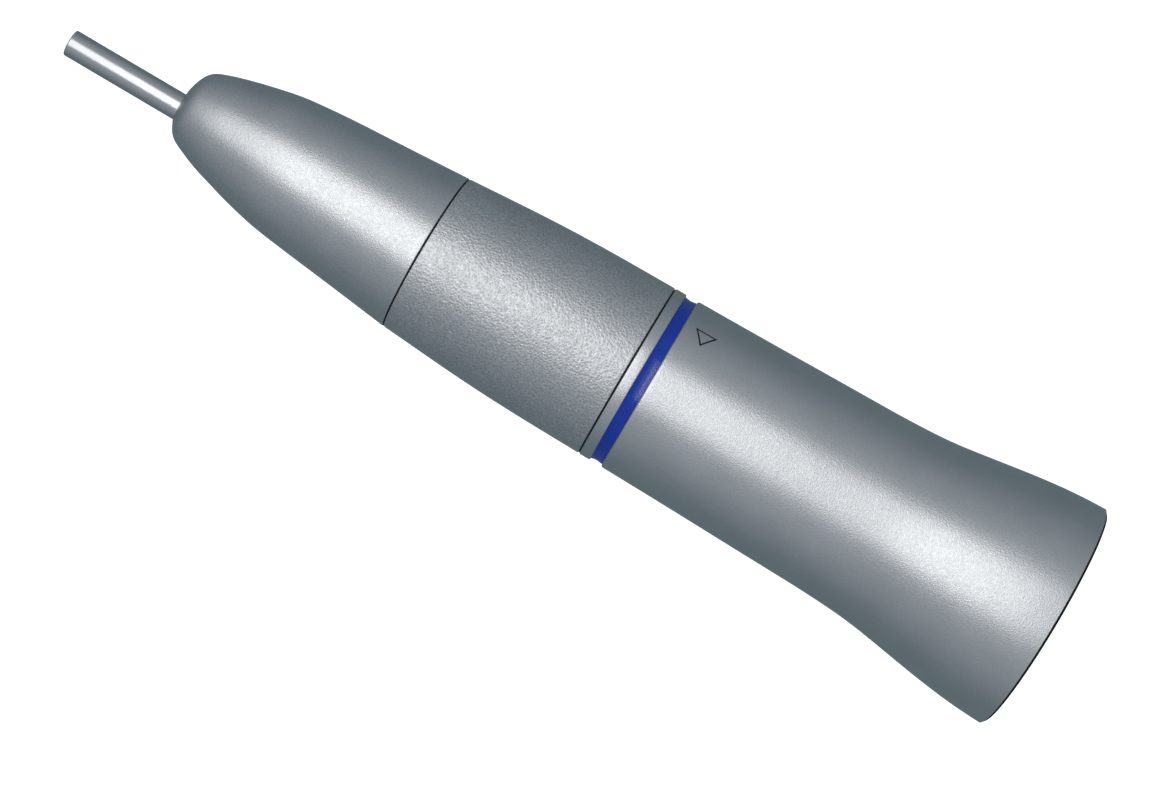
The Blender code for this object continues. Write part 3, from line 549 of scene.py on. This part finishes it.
# Sizes and depths of grain are in metres.
MATERIALS = {
    "satin_steel": blasted_steel(
        "satin_steel", (0.625, 0.625, 0.625), 0.335, grain=0.00013, depth=0.0000085, wave_depth=0.000002,
        pit_shade_share=0.16,
    ),
    "nose_steel": blasted_steel(
        "nose_steel", (0.625, 0.625, 0.625), 0.35, grain=0.00012, depth=0.0000092, wave_depth=0.0000025,
        pit_shade_share=0.32, painted_glint_share=0.25,
    ),
    "coarse_steel": blasted_steel(
        "coarse_steel", (0.61, 0.61, 0.61), 0.45, grain=0.00020, depth=0.0000255, wave_depth=0.000005,
        pit_shade_share=0.50, painted_glint_share=0.7,
    ),
    "bright_steel": turned_metal("bright_steel", (0.58, 0.58, 0.58), 0.25, depth=0.0000001, spread=0.015),
    "plain_steel": turned_metal("plain_steel", (0.56, 0.57, 0.58), 0.28),
    "spring_steel": turned_metal("spring_steel", (0.40, 0.40, 0.42), 0.30),
    "brass": turned_metal("brass", (0.78, 0.58, 0.27), 0.27),
    "aluminium": turned_metal("aluminium", (0.74, 0.75, 0.76), 0.34),
    "blue_lacquer": plain_material(
        "blue_lacquer", (0.003, 0.040, 0.395), 0.5, grain=0.0004, depth=0.000001, coat=0.5
    ),
    # black_rubber also paints the shade in the two seam gaps and on the rear rim's edge.
    "black_rubber": plain_material("black_rubber", (0.012, 0.012, 0.013), 0.6, grain=0.00015, depth=0.000006),
    "cage_resin": plain_material("cage_resin", (0.30, 0.17, 0.07), 0.5, grain=0.0003, depth=0.000006),
}


# --- Casings -----------------------------------------------------------------------------------------------------

def nose_shell():
    """The nose casing: a loft of circles that drift off the axis, with a soft edge at the seam."""
    line = [(NOSE_FACE - behind, radius, shift) for behind, radius, shift in spline(NOSE_LINE, NOSE_STEPS)]
    last_radius = NOSE_LINE[-1][1]
    edge = [
        (NOSE_BACK + SEAM_EDGE * (1 - math.sin(turn)), last_radius - SEAM_EDGE * (1 - math.cos(turn)), 0.0)
        for turn in np.linspace(0.15, math.pi / 2, CORNER_STEPS)
    ]
    line = [point for point in line if point[0] > NOSE_BACK + SEAM_EDGE]
    mesh = lathe("nose_shell", line + edge + list(NOSE_BORE))
    new_piece("nose_shell", mesh, MATERIALS["nose_steel"], "housing", "satin_steel", "nose_cone")


def edged_line(line, edge, front, back):
    """An outside line between two heights with a rounded corner of size edge at each end."""
    inner = [point for point in line if back + edge < point[0] < front - edge]
    turns = np.linspace(0.0, math.pi / 2, CORNER_STEPS + 1)
    first_radius = line[0][1]
    last_radius = line[-1][1]
    nose_corner = [
        (front - edge * (1 - math.cos(turn)), first_radius - edge * (1 - math.sin(turn))) for turn in turns
    ]
    tail_corner = [
        (back + edge * (1 - math.sin(turn)), last_radius - edge * (1 - math.cos(turn))) for turn in turns
    ]
    return nose_corner + inner + tail_corner


def twist_shell():
    line = edged_line(spline(TWIST_RING_LINE, TWIST_RING_STEPS), SEAM_EDGE, RING_FRONT, RING_BACK)
    mesh = lathe("twist_shell", line + list(TWIST_RING_BORE))
    new_piece("twist_shell", mesh, MATERIALS["coarse_steel"], "twist", "coarse_steel", "twist_ring")


def seam_shade_rings():
    """Black rings at the bottoms of the two seams beside the twist ring: painted shade in the seam gaps."""
    for name, back, front, bore, radius in SEAM_SHADE_RINGS:
        mesh = lathe(name, rounded(block_outline(back, front, bore, radius), 0.02, 2))
        # The black material here is painted shade in the gap.
        new_piece(name, mesh, MATERIALS["black_rubber"], "housing", "black_rubber")


def collar_shell():
    mesh = lathe("collar_shell", rounded(COLLAR_OUTLINE, 0.09))
    new_piece("collar_shell", mesh, MATERIALS["satin_steel"], "housing", "satin_steel", "collar_ring")


def blue_band():
    """The blue ring: it fills its groove from side to side, and its face is hollow."""
    middle = (COLLAR_BACK + SLEEVE_FRONT) / 2
    half = (COLLAR_BACK - SLEEVE_FRONT) / 2 + BAND_OVERLAP
    face = []
    for share in np.linspace(-1.0, 1.0, BAND_STEPS):
        if share < 0:
            rise = BAND_RISE * share**2
        elif share > BAND_BEND:
            rise = BAND_SLOPE * half * (share - BAND_BEND / 2)
        else:
            rise = BAND_SLOPE * half * share**2 / (2 * BAND_BEND)
        face.append((middle - half * share, BAND_FLOOR + rise))
    mesh = lathe("blue_band", face + [(middle - half, BAND_BORE), (middle + half, BAND_BORE)])
    new_piece("blue_band", mesh, MATERIALS["blue_lacquer"], "housing", "blue_lacquer", "id_ring")


def sleeve_shell():
    line = edged_line(spline(SLEEVE_LINE, SLEEVE_STEPS), SLEEVE_EDGE, SLEEVE_FRONT, RIM_FRONT)
    rim_radius = SLEEVE_LINE[-1][1]
    line = line[:-CORNER_STEPS - 1] + [(RIM_FRONT + ahead, rim_radius - drop) for ahead, drop in SLEEVE_TAIL]
    mesh = lathe("sleeve_shell", line + rounded(SLEEVE_BORE, SOFT_EDGE))
    new_piece("sleeve_shell", mesh, MATERIALS["satin_steel"], "housing", "satin_steel", "rear_sleeve")


# Painted shade: a black ring over the rear rim's rounded edge, where the edge turns away from the light.
def rim_shade_band():
    mesh = lathe("rim_shade_band", rounded(RIM_OUTLINE, 0.03))
    new_piece("rim_shade_band", mesh, MATERIALS["black_rubber"], "housing", "black_rubber", "rear_rim_ring")


# --- Inside pieces -----------------------------------------------------------------------------------------------

def stand_in(node, mesh):
    """A fine piece in place of one node, with that node's finish and body."""
    slot = SLOT_OF[node]
    return new_piece(f"fine_{node}", mesh, MATERIALS[slot], BODY_OF[node], slot, node)


def span(node):
    """Back, front and outside radius of a node that is round about the axis, in millimetres."""
    low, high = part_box(node)
    return low.x / MM, high.x / MM, high.y / MM


def prism(profile, depth_from, depth_to, turn=0.0):
    """A cutter: a profile of (height, sideways) points, drawn out along the direction at turn about the axis."""
    outward = Vector((0.0, math.sin(turn), -math.cos(turn)))
    sideways = Vector((0.0, math.cos(turn), math.sin(turn)))
    bm = bmesh.new()
    ends = []
    for depth in (depth_from, depth_to):
        ends.append([
            bm.verts.new((Vector((height, 0.0, 0.0)) + sideways * across + outward * depth) * MM)
            for height, across in profile
        ])
    skinned(bm, ends, around=False, ends=True)
    return finish_mesh("cutter", bm)


def round_slot(back, front, half_width):
    """The profile of a slot with round ends, whose end circles are centred at back and front."""
    turns = np.linspace(-math.pi / 2, math.pi / 2, SLOT_STEPS)
    ahead = [(front + half_width * math.cos(turn), half_width * math.sin(turn)) for turn in turns]
    behind = [(back - half_width * math.cos(turn), -half_width * math.sin(turn)) for turn in turns]
    return ahead + behind


def arc_band(bore, radius, start, end, back, front, rise):
    """A cutter: a band about the axis from angle start to angle end, which climbs by rise."""
    bm = bmesh.new()
    sections = []
    for share in np.linspace(0.0, 1.0, ARC_STEPS + 1):
        angle = start + (end - start) * share
        climb = rise * share
        sections.append([
            bm.verts.new(((height + climb) * MM, r * math.sin(angle) * MM, -r * math.cos(angle) * MM))
            for r, height in ((bore, back), (radius, back), (radius, front), (bore, front))
        ])
    skinned(bm, sections, around=False, ends=True)
    return finish_mesh("cutter", bm)


def carved(mesh, *cutters):
    """The mesh with every cutter taken out of it."""
    link = bpy.context.scene.collection.objects.link
    blank = bpy.data.objects.new("blank", mesh)
    link(blank)
    tools = []
    for cutter in cutters:
        tool = bpy.data.objects.new("tool", cutter)
        link(tool)
        tools.append(tool)
        modifier = blank.modifiers.new("cut", "BOOLEAN")
        modifier.operation = "DIFFERENCE"
        modifier.solver = "EXACT"
        modifier.object = tool
    bpy.context.view_layer.update()
    result = bpy.data.meshes.new_from_object(blank.evaluated_get(bpy.context.evaluated_depsgraph_get()))
    for thing in [blank, *tools]:
        bpy.data.objects.remove(thing, do_unlink=True)
    result.shade_smooth()
    result.set_sharp_from_angle(angle=SHARP_ANGLE)
    return result


def bar(node, start, end, radius, edge):
    """A round bar between two points, with rounded ends."""
    start, end = Vector(start), Vector(end)
    length = (end - start).length
    outline = rounded([(length, 0.0, 0.0), (length, radius), (0.0, radius), (0.0, 0.0, 0.0)], edge)
    mesh = lathe(node, outline, SMALL_LATHE_SEGMENTS)
    turn = Vector((1.0, 0.0, 0.0)).rotation_difference(end - start).to_matrix().to_4x4()
    mesh.transform(Matrix.Translation(start * MM) @ turn)
    return stand_in(node, mesh)


def shank_piece():
    back, tip, radius = span("shank_pin")
    bar("shank_pin", (back, 0.0, 0.0), (tip, 0.0, 0.0), radius, BLUNT_EDGE)


def turned_ring(node, bore, edge):
    """A plain ring with rounded edges, of the node's own length and radius."""
    back, front, radius = span(node)
    return lathe(node, rounded(block_outline(back, front, bore, radius), edge), SMALL_LATHE_SEGMENTS)


def plain_rings():
    for node, bore, edge in PLAIN_RINGS:
        stand_in(node, turned_ring(node, bore, edge))
    for node, bore in SPANNER_NUTS:
        back, _, radius = span(node)
        low, high = back - CUT_PAST, back + NOTCH_DEPTH
        notch = [
            (low, -NOTCH_HALF_WIDTH), (high, -NOTCH_HALF_WIDTH), (high, NOTCH_HALF_WIDTH), (low, NOTCH_HALF_WIDTH)
        ]
        mesh = turned_ring(node, bore, NUT_EDGE)
        stand_in(node, carved(mesh, prism(notch, -radius - CUT_PAST, radius + CUT_PAST)))


def ball_bearings():
    """Three bearings: grooved races, a ball cage, and the balls, which ride with their cage."""
    reach = math.acos((BALL_PITCH + RACE_GROOVE - RACE_BORE) / RACE_GROOVE) * 0.999
    groove = [
        (RACE_GROOVE * math.sin(reach * turn), RACE_GROOVE * math.cos(reach * turn))
        for turn in np.linspace(-1.0, 1.0, GROOVE_STEPS)
    ]
    for label in ("front_bearing_a", "front_bearing_b", "rear_bearing"):
        back, front, radius = span(f"{label}_outer_race")
        middle = (back + front) / 2
        outer = [(middle + along, max(RACE_BORE, BALL_PITCH + out)) for along, out in groove]
        corners = [(front, RACE_BORE, 0.05), (front, radius, 0.1), (back, radius, 0.1), (back, RACE_BORE, 0.05)]
        stand_in(f"{label}_outer_race", lathe(label, rounded(corners, 0.1) + outer))
        inner = [(middle - along, min(INNER_RACE_RADIUS, BALL_PITCH - out)) for along, out in groove]
        corners = [
            (back, INNER_RACE_RADIUS, 0.05), (back, SLIP_BORE, 0.08), (front, SLIP_BORE, 0.08),
            (front, INNER_RACE_RADIUS, 0.05),
        ]
        stand_in(f"{label}_inner_race", lathe(label, inner + rounded(corners, 0.08), SMALL_LATHE_SEGMENTS))
        balls = []
        for index in range(BALLS_PER_BEARING):
            turn = math.tau * index / BALLS_PER_BEARING
            balls.append(Vector((middle, BALL_PITCH * math.sin(turn), -BALL_PITCH * math.cos(turn))) * MM)
        outline = block_outline(middle - CAGE_HALF_LENGTH, middle + CAGE_HALF_LENGTH, CAGE_BORE, CAGE_RADIUS)
        ring = lathe(label, rounded(outline, 0.06), SMALL_LATHE_SEGMENTS)
        stand_in(f"{label}_ball_cage", carved(ring, ball_mesh(balls, BALL_RADIUS + BALL_CLEARANCE)))
        body = BODY_OF[f"{label}_ball_cage"]
        new_piece(f"{label}_balls", ball_mesh(balls, BALL_RADIUS), MATERIALS["bright_steel"], body, "bright_steel")


def ball_mesh(centres, radius):
    bm = bmesh.new()
    for centre in centres:
        made = bmesh.ops.create_uvsphere(bm, u_segments=32, v_segments=20, radius=radius * MM)
        bmesh.ops.translate(bm, vec=centre, verts=made["verts"])
    return finish_mesh("balls", bm)


def coil(node, radius, wire, turns, joint, travel):
    """A wire spring with closed ends, which fills the node's own length. The joint and travel are not used."""
    back, front, _ = span(node)
    low, high = back + wire, front - wire
    bm = bmesh.new()
    count = turns * COIL_STEPS
    closed = 2 * wire * CLOSED_PITCH
    heights = np.interp(
        np.linspace(0.0, turns, count + 1), (0.0, 1.0, turns - 1.0, turns), (low, low + closed, high - closed, high)
    )
    sections = []
    for index, height in enumerate(heights):
        angle = math.tau * index / COIL_STEPS
        outward = Vector((0.0, math.sin(angle), -math.cos(angle)))
        middle = Vector((height, 0.0, 0.0)) + outward * radius
        sections.append([
            bm.verts.new((middle + (outward * math.cos(turn) + Vector((math.sin(turn), 0.0, 0.0))) * wire) * MM)
            for turn in np.linspace(0.0, math.tau, WIRE_SEGMENTS, endpoint=False)
        ])
    skinned(bm, sections, around=False, ends=True)
    spring = stand_in(node, finish_mesh(node, bm))
    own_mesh(spring)


def chassis():
    """The tube that lines the bearings up, and the ring and socket that the rear casing stands on."""
    tube = lathe("bearing_tube", rounded(TUBE_OUTLINE, TUBE_EDGE))
    slot = round_slot(GUIDE_PIN_HEIGHT, GUIDE_PIN_HEIGHT + CHUCK_TRAVEL, GUIDE_SLOT)
    stand_in("bearing_tube", carved(tube, prism(slot, -TUBE_CUT, TUBE_CUT)))
    top, bottom = STOP_HOLE_ENDS
    hole = lathe("cutter", [(top, 0.0), (top, STOP_HOLE), (bottom, STOP_HOLE), (bottom, 0.0)], HOLE_SEGMENTS)
    hole.transform(Matrix.Translation(Vector((0.0, STOP_PIN_DISTANCE * MM, 0.0))))
    stand_in("core_ring", carved(turned_ring("core_ring", CORE_BORE, TURNED_EDGE), hole))
    stand_in("coupling_bush", lathe("coupling_bush", rounded(BUSH_OUTLINE, TURNED_EDGE)))
    clip = turned_ring("retaining_ring", SOCKET_RADIUS, SOFT_EDGE)
    stand_in("retaining_ring", carved(clip, prism(CLIP_GAP, *CLIP_CUT)))
    back, front = (corner.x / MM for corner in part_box("stop_pin"))
    bar(
        "stop_pin", (back, STOP_PIN_DISTANCE, 0.0), (front, STOP_PIN_DISTANCE, 0.0), STOP_PIN_RADIUS, STOP_PIN_EDGE
    )


def twist_insides():
    """The cam sleeve with its two climbing slots, the ring that it slides, and the two guide pins."""
    cutters = []
    for turn in (0.0, math.pi):
        for share in (0.0, 1.0):
            height = GUIDE_PIN_HEIGHT + CHUCK_TRAVEL * share
            cutters.append(prism(round_slot(height, height, GUIDE_SLOT), *CAM_CUT, turn - TWIST_ANGLE * share))
        low = GUIDE_PIN_HEIGHT - GUIDE_SLOT
        cutters.append(
            arc_band(*CAM_BAND, turn, turn - TWIST_ANGLE, low, low + 2 * GUIDE_SLOT, CHUCK_TRAVEL)
        )
    half_notch = STOP_NOTCH / CAM_BORE
    start, end = math.pi / 2 + half_notch, math.pi / 2 - TWIST_ANGLE - half_notch
    cutters.append(arc_band(*CAM_BAND, start, end, *STOP_NOTCH_ENDS, 0.0))
    stand_in("cam_sleeve", carved(turned_ring("cam_sleeve", CAM_BORE, TURNED_EDGE), *cutters))
    hole = prism(round_slot(GUIDE_PIN_HEIGHT, GUIDE_PIN_HEIGHT, GUIDE_HOLE), -SHIFT_RING_CUT, SHIFT_RING_CUT)
    stand_in("shift_ring", carved(turned_ring("shift_ring", SHIFT_RING_BORE, SOFT_EDGE), hole))
    for node in ("guide_pin_1", "guide_pin_2"):
        low, high = (corner.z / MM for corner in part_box(node))
        bar(node, (GUIDE_PIN_HEIGHT, 0.0, low), (GUIDE_PIN_HEIGHT, 0.0, high), GUIDE_PIN_RADIUS, SOFT_EDGE)


def shaft_and_chuck():
    """The hollow shaft, the slotted collet, and what pushes the collet forward to open."""
    shaft = lathe("spindle", rounded(SPINDLE_OUTLINE, SHAFT_EDGE), SMALL_LATHE_SEGMENTS)
    cross = CROSS_PIN_HEIGHT
    slot = prism(round_slot(cross, cross + CHUCK_TRAVEL, PIN_HOLE), -SHAFT_CUT, SHAFT_CUT, math.pi / 2)
    hole = prism(round_slot(DOG_PIN_HEIGHT, DOG_PIN_HEIGHT, PIN_HOLE), -SHAFT_CUT, SHAFT_CUT)
    stand_in("spindle", carved(shaft, slot, hole))
    collet = lathe("collet", rounded(COLLET_OUTLINE, SHAFT_EDGE), SMALL_LATHE_SEGMENTS)
    pin_hole = prism(round_slot(cross, cross, PIN_HOLE), -CHUCK_CUT, CHUCK_CUT, math.pi / 2)
    slots = [prism(round_slot(*JAW_SLOT), *JAW_CUT, math.tau * (index + 0.5) / JAWS) for index in range(JAWS)]
    stand_in("collet", carved(collet, pin_hole, *slots))
    collar = lathe("release_collar", rounded(RELEASE_OUTLINE, TURNED_EDGE), SMALL_LATHE_SEGMENTS)
    stand_in("release_collar", carved(collar, pin_hole))
    bar("cross_pin", (cross, -CROSS_PIN_REACH, 0.0), (cross, CROSS_PIN_REACH, 0.0), PIN_RADIUS, SOFT_EDGE)
    place = DOG_PIN_HEIGHT
    bar("dog_pin", (place, 0.0, -DOG_PIN_REACH), (place, 0.0, DOG_PIN_REACH), PIN_RADIUS, SOFT_EDGE)
    for node in ("bur_stop", "dog_spring_seat"):
        back, front, radius = span(node)
        bar(node, (back, 0.0, 0.0), (front, 0.0, 0.0), radius, BLUNT_EDGE)
    coil("collet_spring", *COLLET_COIL, "chuck_slide", CHUCK_TRAVEL + SPRING_GAP)
    coil("dog_spring", *DOG_COIL, "drive_dog_slide", DOG_TRAVEL + SPRING_GAP)


def dog():
    """The sprung fork that the motor's own dog turns: its mouth flares, and its slot ends round."""
    blank = lathe("drive_dog", rounded(DOG_OUTLINE, TURNED_EDGE), SMALL_LATHE_SEGMENTS)
    fork = [(height, -half) for height, half in FORK_MOUTH]
    fork += [
        (FORK_END + FORK_HALF_WIDTH * math.cos(turn), FORK_HALF_WIDTH * math.sin(turn))
        for turn in np.linspace(-math.pi / 2, math.pi / 2, SLOT_STEPS)
    ]
    fork += [(height, half) for height, half in reversed(FORK_MOUTH)]
    pin_slot = round_slot(DOG_PIN_HEIGHT - DOG_TRAVEL, DOG_PIN_HEIGHT, PIN_HOLE)
    cutters = [prism(profile, -SHAFT_CUT, SHAFT_CUT) for profile in (fork, pin_slot)]
    stand_in("drive_dog", carved(blank, *cutters))


def arrow_mark():
    """A plain outlined triangle, etched dark into the rear casing near the blue ring."""
    corners = [Vector(corner) for corner in MARK_CORNERS]
    middle = sum(corners, Vector((0.0, 0.0))) / len(corners)
    heights = [height for height, _ in reversed(SLEEVE_LINE)]
    radii = [radius for _, radius in reversed(SLEEVE_LINE)]
    bm = bmesh.new()
    loops = []
    for shrink, lift in (
        (1.0, MARK_LIFT), (MARK_SHRINK, MARK_LIFT), (MARK_SHRINK, -MARK_DEPTH), (1.0, -MARK_DEPTH)
    ):
        loop = []
        for first, second in zip(corners, corners[1:] + corners[:1]):
            for share in np.linspace(0.0, 1.0, MARK_STEPS, endpoint=False):
                spot = middle + (first.lerp(second, share) - middle) * shrink
                radius = float(np.interp(spot.x, heights, radii))
                angle = spot.y / radius
                reach = (radius + lift) * MM
                loop.append(bm.verts.new((spot.x * MM, reach * math.sin(angle), reach * math.cos(angle))))
        loops.append(loop)
    skinned(bm, loops)
    new_piece("arrow_mark", finish_mesh("arrow_mark", bm), MATERIALS["black_rubber"], "housing", "black_rubber")


# --- Stage -------------------------------------------------------------------------------------------------------

def aim(thing, target, up):
    """Points a camera or a light, which look along their own -Z, at target."""
    back = (thing.location - target).normalized()
    right = up.cross(back).normalized()
    thing.rotation_euler = Matrix((right, back.cross(right), back)).transposed().to_euler()


def camera():
    data = bpy.data.cameras.new("camera")
    data.lens = LENS
    data.sensor_width = 36.0
    data.clip_start = 0.01
    data.clip_end = 20.0
    thing = bpy.data.objects.new("camera", data)
    bpy.context.scene.collection.objects.link(thing)
    thing.location = (FOOT_X, 0.0, CAMERA_DISTANCE)
    up = Vector((math.sin(AXIS_TILT), -math.cos(AXIS_TILT), 0.0))
    aim(thing, LOOK_AT, up)
    bpy.context.scene.camera = thing


def softbox(name, size, place, radiance):
    """A rectangular light that faces straight down. Radiance is what the part sees in it."""
    data = bpy.data.lights.new(name, "AREA")
    data.shape = "RECTANGLE"
    data.size, data.size_y = size
    data.energy = radiance * math.pi * size[0] * size[1]
    thing = bpy.data.objects.new(name, data)
    bpy.context.scene.collection.objects.link(thing)
    thing.location = place
    aim(thing, Vector((place[0], place[1], 0.0)), Vector((0.0, 1.0, 0.0)))


def world_light():
    """A soft room: pale overhead, cooler and darker to the sides and below."""
    world = bpy.data.worlds.new("room")
    bpy.context.scene.world = world
    world.use_nodes = True
    nodes = world.node_tree.nodes
    links = world.node_tree.links
    background = nodes["Background"]
    direction = nodes.new("ShaderNodeTexCoord").outputs["Generated"]
    split = nodes.new("ShaderNodeSeparateXYZ")
    links.new(direction, split.inputs[0])
    ramp = nodes.new("ShaderNodeValToRGB")
    height = nodes.new("ShaderNodeMapRange")
    height.inputs["From Min"].default_value = -1.0
    height.inputs["From Max"].default_value = 1.0
    links.new(split.outputs["Z"], height.inputs["Value"])
    links.new(height.outputs["Result"], ramp.inputs["Fac"])
    ramp.color_ramp.interpolation = "B_SPLINE"
    elements = ramp.color_ramp.elements
    while len(elements) < len(SKY):
        elements.new(0.5)
    for element, (place, colour) in zip(elements, SKY):
        element.position = place
        element.color = (*colour, 1.0)
    links.new(ramp.outputs["Color"], background.inputs["Color"])
    background.inputs["Strength"].default_value = 1.0


def floor():
    """A pale sheet under the part, which curves up far away. Reflections see the soft room in place of it."""
    bm = bmesh.new()
    level = CAD_BOUNDS[0][2] - FLOOR_GAP
    turns = np.linspace(0.0, math.tau, FLOOR_SEGMENTS, endpoint=False)
    circles = [
        [bm.verts.new((radius * math.cos(turn), radius * math.sin(turn), level + rise)) for turn in turns]
        for radius, rise in FLOOR_LINE
    ]
    skinned(bm, circles, around=False)
    mesh = bpy.data.meshes.new("floor")
    bmesh.ops.remove_doubles(bm, verts=bm.verts, dist=1e-5)
    bmesh.ops.recalc_face_normals(bm, faces=bm.faces)
    bm.to_mesh(mesh)
    bm.free()
    mesh.shade_smooth()
    material, nodes, links, shader = node_material("floor", (0.86, 0.86, 0.86), 0.0, 0.9)
    shader.inputs["Emission Color"].default_value = (1.0, 1.0, 1.0, 1.0)
    shader.inputs["Emission Strength"].default_value = FLOOR_GLOW
    mesh.materials.append(material)
    sheet = bpy.data.objects.new("floor", mesh)
    bpy.context.scene.collection.objects.link(sheet)
    sheet.visible_glossy = False
    sheet.visible_diffuse = False


nose_shell()
twist_shell()
seam_shade_rings()
collar_shell()
blue_band()
sleeve_shell()
rim_shade_band()
arrow_mark()
shank_piece()
plain_rings()
ball_bearings()
chassis()
twist_insides()
shaft_and_chuck()
dog()
camera()
world_light()
for light in LIGHTS:
    softbox(*light)
floor()
bpy.context.scene.view_settings.view_transform = "Standard"
